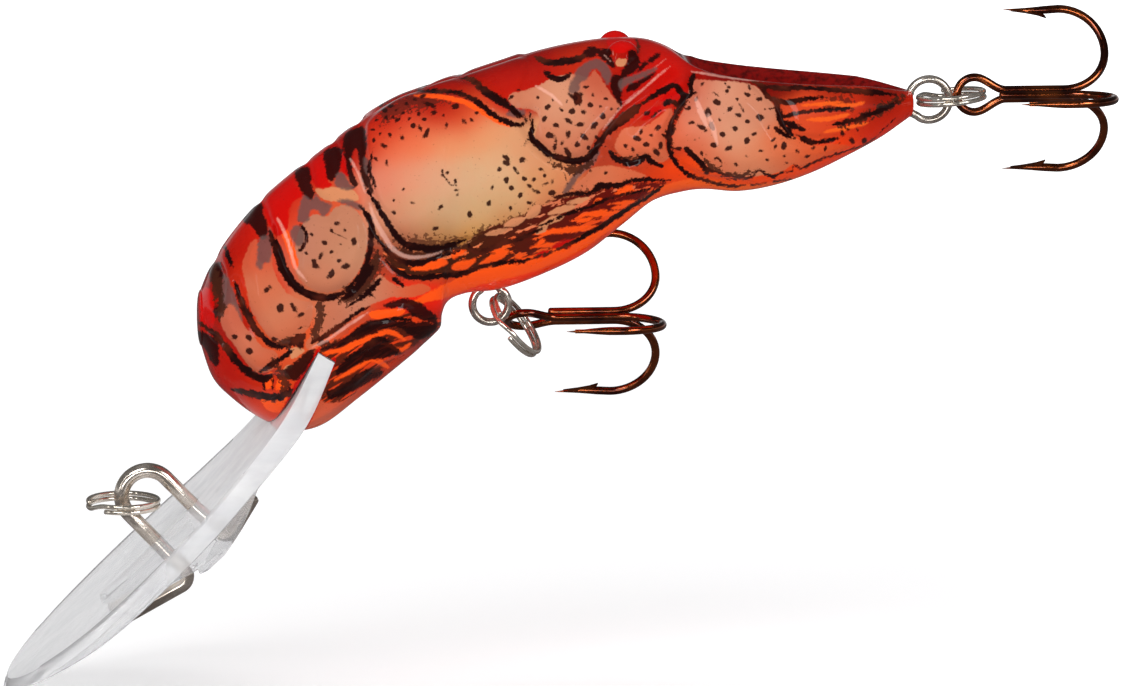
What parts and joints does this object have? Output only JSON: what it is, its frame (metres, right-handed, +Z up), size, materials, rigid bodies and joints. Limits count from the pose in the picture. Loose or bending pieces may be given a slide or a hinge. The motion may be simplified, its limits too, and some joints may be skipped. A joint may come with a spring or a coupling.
{
  "type": "crankbait lure",
  "caption": "Deep-diving crawfish-shaped crankbait lure with a clear lip, wire line tie, split rings and two treble hooks that swing on the rings.",
  "frame": {"origin": "centre of the whole object's bounding box with the hooks trailing", "axes": "+X from the lip's tip towards the tail hook, +Z up through the back, Y = 0 is the parting plane between the two shell halves"},
  "size_m": [0.0906, 0.0244, 0.0544],
  "materials": {
    "shell_paint": "gloss clear coat over orange, red, peach and dark brown paint",
    "clear_lip": "clear moulded plastic, glossy",
    "stainless_wire": "bright drawn stainless wire",
    "nickel_rings": "bright nickel",
    "bronzed_hooks": "dark lacquered bronze",
    "ballast_metal": "dull cast grey",
    "rattle_steel": "polished ball"
  },
  "bodies": {
    "lure_body": {"body_shell_left": "shell_paint", "body_shell_right": "shell_paint", "diving_lip": "clear_lip", "line_tie_wire": "stainless_wire", "belly_hook_hanger": "stainless_wire", "tail_hook_hanger": "stainless_wire", "ballast_weight": "ballast_metal"},
    "line_ring": {"line_tie_split_ring": "nickel_rings"},
    "belly_ring": {"belly_split_ring": "nickel_rings"},
    "belly_treble": {"belly_treble_double_hook": "bronzed_hooks", "belly_treble_single_hook": "bronzed_hooks"},
    "tail_ring": {"tail_split_ring": "nickel_rings"},
    "tail_treble": {"tail_treble_double_hook": "bronzed_hooks", "tail_treble_single_hook": "bronzed_hooks"},
    "rattle_1": {"rattle_ball_1": "rattle_steel"},
    "rattle_2": {"rattle_ball_2": "rattle_steel"},
    "rattle_3": {"rattle_ball_3": "rattle_steel"}
  },
  "joints": [
    {"name": "line_ring_swing", "type": "hinge", "parent": "lure_body", "child": "line_ring", "pos_m": [-0.03359, 0, -0.01178], "axis": [0, 1, 0], "range_deg": [-65, 165]},
    {"name": "belly_ring_swing", "type": "hinge", "parent": "lure_body", "child": "belly_ring", "pos_m": [-0.00556, 0, 0.00363], "axis": [0, -1, 0], "range_deg": [-70, 4]},
    {"name": "belly_treble_swing", "type": "hinge", "parent": "belly_ring", "child": "belly_treble", "pos_m": [-0.00266, 0.00266, 0.00194], "axis": [-0.5751, 0.1677, 0.8007], "range_deg": [-6, 55]},
    {"name": "tail_ring_turn", "type": "hinge", "parent": "lure_body", "child": "tail_ring", "pos_m": [0.03212, 0, 0.0202], "axis": [-0.1045, 0, 0.9945], "range_deg": [-30, 30]},
    {"name": "tail_treble_swing", "type": "hinge", "parent": "tail_ring", "child": "tail_treble", "pos_m": [0.0348, 0, 0.02049], "axis": [0, -1, 0], "range_deg": [-70, 70]},
    {"name": "rattle_1_slide", "type": "slide", "parent": "lure_body", "child": "rattle_1", "axis": [0, 1, 0], "range_m": [-0.0028, 0.0028]},
    {"name": "rattle_2_slide", "type": "slide", "parent": "lure_body", "child": "rattle_2", "axis": [0, 1, 0], "range_m": [-0.0028, 0.0028]},
    {"name": "rattle_3_slide", "type": "slide", "parent": "lure_body", "child": "rattle_3", "axis": [0, 1, 0], "range_m": [-0.0028, 0.0028]}
  ]
}
